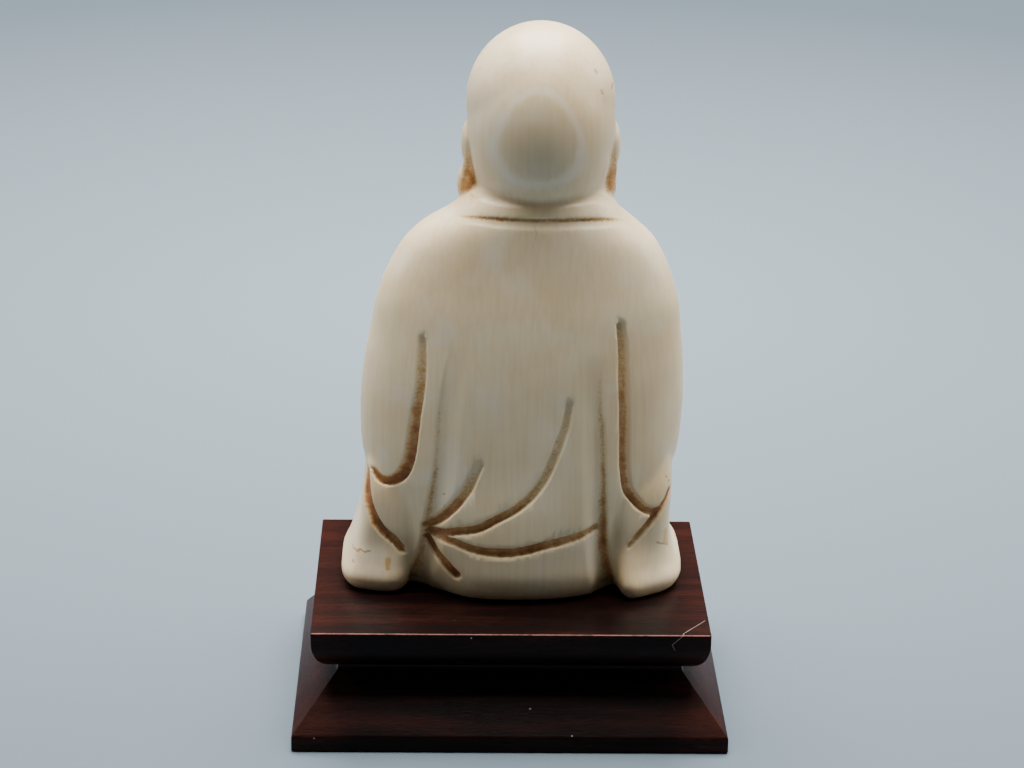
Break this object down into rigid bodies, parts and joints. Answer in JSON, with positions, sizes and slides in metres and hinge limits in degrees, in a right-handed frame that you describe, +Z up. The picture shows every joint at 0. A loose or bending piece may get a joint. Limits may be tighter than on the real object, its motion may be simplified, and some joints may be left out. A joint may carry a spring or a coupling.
{
  "type": "ivory figurine on a wooden plinth",
  "caption": "Carved ivory figurine of a seated, robed, bald deity with long-lobed ears and hands in its lap, standing on a moulded dark hardwood plinth.",
  "frame": {"origin": "centre of the plinth's underside", "axes": "+Z up, along the height; the figure faces -Y and its back faces +Y; its own left is +X"},
  "size_m": [0.0548, 0.0422, 0.0879],
  "materials": {
    "ivory": "satin",
    "hardwood": "satin"
  },
  "bodies": {
    "root": {"ivory_figurine": "ivory", "wooden_plinth": "hardwood"}
  },
  "joints": []
}
